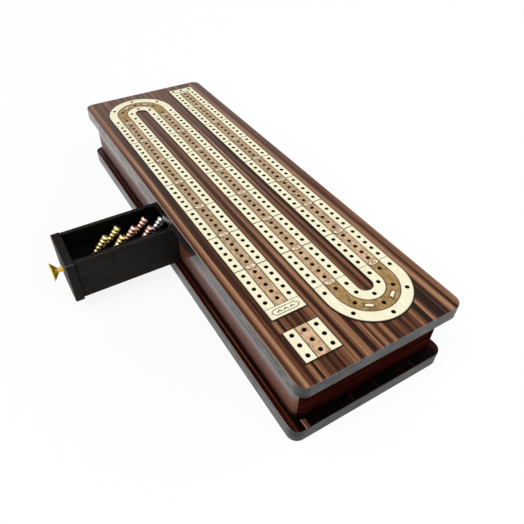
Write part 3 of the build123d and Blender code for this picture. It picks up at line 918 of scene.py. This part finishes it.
@dataclass
class Track:
    """The inlaid track and game counter, with the burnt numbers of its plates. Sizes are in mm."""

    first_hole: float = 120.35
    pitch: float = 6.35
    group_gap: float = 10.36
    holes: int = 5
    groups: int = 7  # in the first two legs; the third has one more
    leg_spacing: float = 34.7
    far_straight: float = 13.65
    near_straight: float = 11.85
    half_band: float = 12.1
    no_lane: float = 99.0  # stands for half a middle lane where there is none, far off the plate
    start_length: float = 8.0
    counter_gap: float = 18.8
    counter_length: float = 22.4
    finish_setback: float = 3.4
    finish_length: float = 8.9
    inlay_face: float = 57.6
    plate_face: float = 57.88
    plate_length: float = 9.0
    plate_width: float = 4.3
    rim: float = 0.36  # width of a plate's burnt outline
    proud: float = 0.015  # burnt marks stand this far above the wood, so that they show
    digit_height: float = 2.5
    digit_share: float = 0.7  # a digit's height as a share of its font's size
    score_step: int = 5
    arrow_angle: float = 31.0
    arrow_length: float = 5.8
    arrow_width: float = 1.8
    frame_gap: float = 0.35  # from an arrow to the burnt line round it
    frame_width: float = 0.4

    @property
    def group_length(self) -> float:
        """From one group's first hole to the next group's."""
        return (self.holes - 1) * self.pitch + self.group_gap

    @property
    def turns(self) -> dict[str, TrackLines]:
        """The two turns of the track.

        Returns:
            Where each one's lines run, by its name.
        """
        radius = self.leg_spacing / 2
        far = TrackLines(-radius, self.line(self.groups) - self.far_straight, -1, radius)
        near = TrackLines(radius, self.line(0) + self.near_straight, 1, radius)
        return {"far_turn": far, "near_turn": near}

    def line(self, count: int) -> float:
        """Where the line before a group crosses the track."""
        return self.first_hole - count * self.group_length + self.group_gap / 2

    def leg_middle(self, leg: int) -> float:
        """The middle of leg 1, 2 or 3 across the board."""
        return (leg - 2) * self.leg_spacing

    def leg_lines(self, leg: int) -> TrackLines:
        """Where the scorched lines of leg 1, 2 or 3 run."""
        return TrackLines(self.leg_middle(leg), first_cross=self.line(0), cross_step=self.group_length)

    def reach(self, point: Point) -> Shade:
        """How far a point lies outside the track's inlay.

        Args:
            point: the point.

        Returns:
            The distance in metres, or less than 0 inside the inlay.
        """
        last_hole = self.first_hole - self.groups * self.group_length - (self.holes - 1) * self.pitch
        counter = self.line(0) + self.counter_gap
        spans = (
            (1, self.line(self.groups), self.line(0) + self.start_length),
            (2, self.line(self.groups), self.line(0)),
            (3, last_hole - self.finish_setback - self.finish_length, self.line(0)),
            (1, counter, counter + self.counter_length),
        )
        nearest = None
        for leg, low, high in spans:
            end = abs(point.along - (low + high) / 2 * MM) - (high - low) / 2 * MM
            side = abs(point.across - self.leg_middle(leg) * MM) - self.half_band * MM
            outside = end.at_least(side)
            nearest = outside if nearest is None else nearest.at_most(outside)
        for count, lines in ((self.groups, self.turns["far_turn"]), (0, self.turns["near_turn"])):
            behind = (self.line(count) * MM - point.along) * float(lines.way)
            outside = (lines.lane(point) - self.half_band * MM).at_least(behind)
            nearest = nearest.at_most(outside)
        return nearest

    def dress(self) -> None:
        """Gives every inlaid strip and plate its finish, and adds the burnt marks."""
        for leg in (1, 2, 3):
            self.dress_band(f"leg_{leg}", self.leg_lines(leg), ("left", "right"), BROWN)
        for turn, lines in self.turns.items():
            self.dress_band(turn, lines, ("inner", "outer"), TURN_BROWN)
        self.dress_band("counter", TrackLines(self.leg_middle(1)), ("left", "right"), BROWN)
        for node, leg in (("start_plate", 1), ("finish_plate", 3)):
            rim = TrackLines(self.leg_middle(leg))
            plate = InlayWood(self.inlay_face, MAPLE, lines=rim, half_middle=self.no_lane)
            shown(node, plate.material(f"maple_{node}"))
        plates = InlayWood(self.plate_face, PLATE_MAPLE).material("maple_plates")
        for leg in (1, 2, 3):
            shown(f"number_plates_leg_{leg}", plates)
        shown("turn_arrows", InlayWood(self.plate_face, ARROW_MAPLE).material("maple_arrows"))
        self.burn_marks()

    def dress_band(
        self, name: str, lines: TrackLines, sides: tuple[str, str], brown: InlayTones
    ) -> None:
        """Dresses the three strips of a leg, a turn or the counter.

        Args:
            name: what the strips' names start with.
            lines: where its scorched lines run.
            sides: the names of the two pale strips.
            brown: the colours of the middle strip.
        """
        maple = InlayWood(self.inlay_face, MAPLE, lines=lines).material(f"maple_{name}")
        for side in sides:
            shown(f"{name}_strip_{side}", maple)
        middle = InlayWood(self.inlay_face, brown, lines=lines).material(f"brown_{name}")
        shown(f"{name}_strip_middle", middle)

    def scores(self, leg: int) -> list[tuple[int, float]]:
        """The numbers of one leg's plates.

        Args:
            leg: 1, 2 or 3.

        Returns:
            Each plate's number, with its place along the board.
        """
        lines = range(1 if leg == 1 else 0, self.groups + 1)
        base, way = {1: (0, 1), 2: (2 * self.groups + 1, -1), 3: (2 * self.groups + 2, 1)}[leg]
        return [(self.score_step * (base + way * count), self.line(count)) for count in lines]

    def hexagon(self, along: float, across: float) -> list[Vector]:
        """The outline of a number plate.

        Args:
            along: the plate's middle along the board.
            across: its middle across the board.

        Returns:
            Its corners, in metres.
        """
        half = self.plate_length / 2
        side = self.plate_width / 2
        neck = half - side
        corners = [(0, -half), (side, -neck), (side, neck), (0, half), (-side, neck), (-side, -neck)]
        return [Vector(((along + x) * MM, (across + y) * MM)) for x, y in corners]

    def arrows(self) -> list[list[Vector]]:
        """The outlines of the four arrows in the turns.

        Returns:
            Each arrow's corners, in metres.
        """
        half = self.arrow_length / 2
        side = self.arrow_width / 2
        neck = half - side
        corners = [(-half, -side), (neck, -side), (half, 0), (neck, side), (-half, side), (-neck, 0)]
        outlines = []
        for lines in self.turns.values():
            for turn in (-math.radians(self.arrow_angle), math.radians(self.arrow_angle)):
                spot = Vector((lines.bend + lines.way * math.cos(turn) * lines.radius, lines.middle))
                spot.y += math.sin(turn) * lines.radius
                heading = Matrix.Rotation(math.pi / 2 + lines.way * turn, 2)
                outlines.append([(heading @ Vector(corner) + spot) * MM for corner in corners])
        return outlines

    def digits(self, text: str, along: float, across: float) -> bpy.types.Mesh:
        """A number on one plate, read from the start end.

        Args:
            text: the number.
            along: the plate's middle along the board.
            across: the plate's middle across the board.

        Returns:
            The number's mesh.
        """
        curve = bpy.data.curves.new("number", "FONT")
        curve.body = text
        curve.size = self.digit_height / self.digit_share * MM
        curve.align_x = curve.align_y = "CENTER"
        curve.extrude = self.proud * MM
        curve.resolution_u = 3
        carrier = linked("number", curve)
        bpy.context.view_layer.update()
        data = bpy.data.meshes.new_from_object(carrier.evaluated_get(bpy.context.evaluated_depsgraph_get()))
        place = Matrix.Translation((along * MM, across * MM, self.plate_face * MM))
        data.transform(place @ Matrix.Rotation(math.pi / 2, 4, "Z"))
        bpy.data.objects.remove(carrier)
        bpy.data.curves.remove(curve)
        return data

    def burn_marks(self) -> None:
        """Adds the plates' numbers and outlines, and the lines round the arrows."""
        scorch = BURNT_WOOD.material("burnt_wood")
        for leg in (1, 2, 3):
            numbers = bmesh.new()
            rims = bmesh.new()
            for score, along in self.scores(leg):
                data = self.digits(str(score), along, self.leg_middle(leg))
                numbers.from_mesh(data)
                bpy.data.meshes.remove(data)
                edge = self.hexagon(along, self.leg_middle(leg))
                self.burnt_line(rims, edge, grown(edge, -self.rim * MM), self.plate_face)
            bmesh.ops.remove_doubles(numbers, verts=numbers.verts, dist=1e-7)
            for made, name in ((numbers, f"numbers_leg_{leg}"), (rims, f"plate_rims_leg_{leg}")):
                new_piece(name, made, scorch, "case")
        frames = bmesh.new()
        for edge in self.arrows():
            inner = grown(edge, self.frame_gap * MM)
            self.burnt_line(frames, grown(inner, self.frame_width * MM), inner, self.inlay_face)
        new_piece("arrow_frames", frames, scorch, "case")

    def burnt_line(
        self, mesh: bmesh.types.BMesh, outer: list[Vector], inner: list[Vector], face: float
    ) -> None:
        """Adds a closed burnt line between two outlines, just proud of a face.

        Args:
            mesh: what it is added to.
            outer: the outer outline, in order.
            inner: the inner outline, point for point with the outer one.
            face: the height of the face, in mm.
        """
        low = (face - self.proud) * MM
        high = (face + self.proud) * MM
        rings = [
            [mesh.verts.new((point.x, point.y, z)) for point in outline]
            for outline, z in ((outer, low), (inner, low), (inner, high), (outer, high))
        ]
        count = len(outer)
        for ring, following in zip(rings, rings[1:] + rings[:1]):
            for k in range(count):
                after = (k + 1) % count
                mesh.faces.new((ring[k], ring[after], following[after], following[k]))


@dataclass
class Drawer:
    """The black peg drawer with its brass knob and screw."""

    boxes: tuple[str, ...] = ("drawer_front", "drawer_side_near", "drawer_side_far", "drawer_back")
    arris: float = 0.35

    def dress(self) -> None:
        """Gives the drawer's boards, block, knob and screw their finishes."""
        tones = {"base": (0.0125, 0.0105, 0.01), "deep": (0.005, 0.004, 0.0035)}
        # painted shade on the drawer's inside, with the dark joint behind its front
        hollow = Hollow(half=15.2, front=-128.4)
        # its rounded edges get a painted highlight
        stain = BlackLacquer(**tones, roughness=0.5, gloss=0.08, rubbed=0.3, hollow=hollow)
        outside = stain.material("black_stain")
        block = BlackLacquer((0.003, 0.0028, 0.0028), (0.001, 0.001, 0.001), 0.5, 0.06)
        brass = KNOB_BRASS.material("knob_brass")
        for board in self.boxes:
            shown(board, outside)
            softened(board, self.arris)
        shown("peg_block", block.material("black_block"))
        shown("knob", brass)
        shown("knob_screw", brass)


@dataclass
class Pegs:
    """The nine turned pegs, three of each metal."""

    metals: tuple[tuple[str, TurnedMetal], ...] = (("brass", BRASS), ("copper", COPPER), ("silver", SILVER))
    each: int = 3

    def dress(self) -> None:
        """Gives each peg its metal."""
        for name, metal in self.metals:
            material = metal.material(f"peg_{name}")
            for k in range(self.each):
                shown(f"peg_{name}_{k + 1}", material)


# ---------------- studio


@dataclass
class Studio:
    """The floor, the light and the camera."""

    floor_size: float = 8.0
    floor_glow: float = 0.87  # the share of the floor's white that keeps no shadow
    mirrored_glow: float = 0.45  # the same share where the floor is seen in a reflection
    eye: Spot = (0.27886, -0.14918, 0.27035)
    right: Spot = (0.50912, 0.86064, 0.00988)
    ahead: Spot = (-0.62215, 0.37593, -0.68673)
    sensor: float = 36.0
    focal_share: float = 489.11 / 524  # focal length as a share of the picture's width
    shift: float = 11.67 / 524
    sky_low: Colour = (1.0, 1.0, 1.0)  # the sky near the horizon
    sky_high: Colour = (0.13, 0.13, 0.13)  # and overhead
    sky_fade: tuple[float, float] = (0.34, 0.72)  # between these sines of the height above the horizon
    sun_way: Spot = (0.15, -0.55, 1.25)  # the direction that it comes from
    sun_width: float = 45.0  # how wide it looks, in degrees
    sun_strength: float = 1.95  # in watts to the square metre
    lamp_size: float = 0.6  # the length of a lamp's side, in metres
    lamp_power: float = 3.0  # in watts

    def camera(self) -> None:
        """Stands the camera where the photograph was taken."""
        data = bpy.data.cameras.new("camera")
        data.sensor_width = self.sensor
        data.lens = self.sensor * self.focal_share
        data.shift_x = self.shift
        data.clip_start = 0.01
        data.clip_end = 50
        obj = linked("camera", data)
        right = Vector(self.right).normalized()
        ahead = Vector(self.ahead).normalized()
        up = right.cross(ahead).normalized()
        turn = Matrix((right, up, -ahead)).transposed().to_4x4()
        obj.matrix_world = Matrix.Translation(self.eye) @ turn
        bpy.context.scene.camera = obj
        LOG.info("camera stands at %s", self.eye)

    def floor(self) -> None:
        """Lays a white floor that keeps a soft shadow."""
        mesh = bmesh.new()
        bmesh.ops.create_grid(mesh, x_segments=1, y_segments=1, size=self.floor_size / 2)
        data = bpy.data.meshes.new("floor")
        mesh.to_mesh(data)
        mesh.free()
        linked("floor", data)
        data.materials.append(self.white())

    def white(self) -> bpy.types.Material:
        """The floor's white, which glows for the camera and a little for reflections.

        Returns:
            The material.
        """
        graph = Graph(bpy.data.materials.new("floor"))
        plain = graph.principled(Base_Color=(0.92, 0.92, 0.92), Roughness=0.9, Specular_IOR_Level=0.0)
        glow = graph.node("ShaderNodeEmission", {}, {"Color": (1.0, 1.0, 1.0), "Strength": 1.0})
        camera = graph.node("ShaderNodeLightPath", {}, {}, "Is Camera Ray")
        share = camera * self.floor_glow + camera.other("Is Glossy Ray") * self.mirrored_glow
        mixed = graph.node("ShaderNodeMixShader", {}, {0: share, 1: plain, 2: glow})
        graph.node("ShaderNodeOutputMaterial", {}, {"Surface": mixed})
        return graph.owner

    def hang(self, data: bpy.types.Light, spot: Spot) -> None:
        """Hangs a light so that it faces the object.

        Args:
            data: the light.
            spot: where it hangs, in metres.
        """
        obj = linked(data.name, data)
        obj.location = spot
        obj.rotation_mode = "QUATERNION"
        obj.rotation_quaternion = Vector(spot).to_track_quat("Z", "Y")

    def sun(self) -> None:
        """Adds a broad soft light that is far off, so that it is even all over the floor."""
        data = bpy.data.lights.new("key_light", "SUN")
        data.angle = math.radians(self.sun_width)
        data.energy = self.sun_strength
        self.hang(data, self.sun_way)

    def lamp(self, name: str, spot: Spot) -> None:
        """Hangs one soft square lamp.

        Args:
            name: its name.
            spot: where it hangs, in metres.
        """
        data = bpy.data.lights.new(name, "AREA")
        data.size = self.lamp_size
        data.energy = self.lamp_power
        self.hang(data, spot)

    def light(self) -> None:
        """Lights the object softly from above, under a sky that is white low down and dark overhead."""
        graph = Graph(bpy.data.worlds.new("sky"))
        height = graph.axes(graph.node("ShaderNodeTexCoord", {}, {}, "Generated"))[2]
        grey = graph.mix(height.rises(*self.sky_fade), self.sky_low, self.sky_high)
        sky = graph.node("ShaderNodeBackground", {}, {"Color": grey, "Strength": 1.0})
        graph.node("ShaderNodeOutputWorld", {}, {"Surface": sky})
        bpy.context.scene.world = graph.owner
        self.sun()
        self.lamp("back_light", (0.45, 1.1, 0.8))
        self.lamp("fill_light", (1.1, 0.3, 0.7))

    def build(self) -> None:
        """Builds the studio and sets how the picture is shown."""
        self.camera()
        self.floor()
        self.light()
        bpy.context.scene.view_settings.view_transform = "Standard"


def write_sizes() -> None:
    """Updates the view layer.
    """
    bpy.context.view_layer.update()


def main() -> None:
    """Builds the studio, then dresses each sub-assembly in turn."""
    logging.basicConfig(level=logging.INFO, format="%(message)s")
    Studio().build()
    for part in (Case(), Track(), Drawer(), Pegs()):
        part.dress()
        LOG.info("%s is dressed", type(part).__name__)
    write_sizes()


if __name__ == "__main__":
    main()
